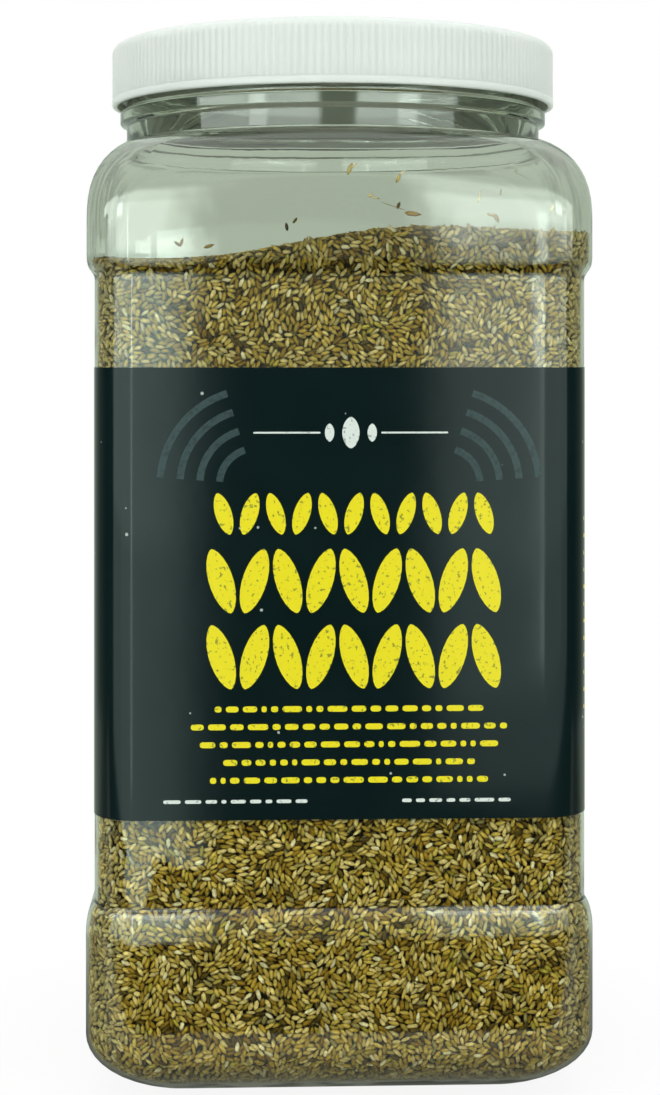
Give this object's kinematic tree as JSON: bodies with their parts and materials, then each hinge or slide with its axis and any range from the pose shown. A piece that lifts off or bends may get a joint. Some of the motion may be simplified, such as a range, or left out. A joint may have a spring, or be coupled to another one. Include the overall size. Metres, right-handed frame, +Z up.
{
  "type": "jar of switchgrass seed",
  "caption": "Square clear plastic jar with a ribbed white screw lid and a dark wrap label, filled with small tan grass seed whose top slopes.",
  "frame": {"origin": "middle of the jar's foot, on the surface it stands on", "axes": "+Z up through the lid, -Y out of the front face, +X to the right seen from the front"},
  "size_m": [0.1312, 0.1312, 0.2785],
  "materials": {
    "clear_pet": "clear blown plastic with a faint green tint",
    "white_plastic": "satin moulded plastic with fine ribs",
    "foam_liner": "fine closed-cell foam",
    "printed_film": "satin printed film, near-black blue with yellow and white shapes",
    "seed": "smooth dry hulls, tan to brown and grey"
  },
  "bodies": {
    "jar": {"jar": "clear_pet", "label": "printed_film", "seed_fill": "seed"},
    "liner": {"liner": "foam_liner"},
    "lid": {"lid": "white_plastic"}
  },
  "joints": [
    {"name": "lid_lift", "type": "slide", "parent": "jar", "child": "liner", "axis": [0, 0, 1], "range_m": [0, 0.0052]},
    {"name": "lid_turn", "type": "hinge", "parent": "liner", "child": "lid", "pos_m": [0, 0, 0.27], "axis": [0, 0, 1], "range_deg": [0, 360]}
  ],
  "couplings": [
    {"joint": "lid_lift", "follows": "lid_turn", "m_per_rad": 0.00080851}
  ]
}
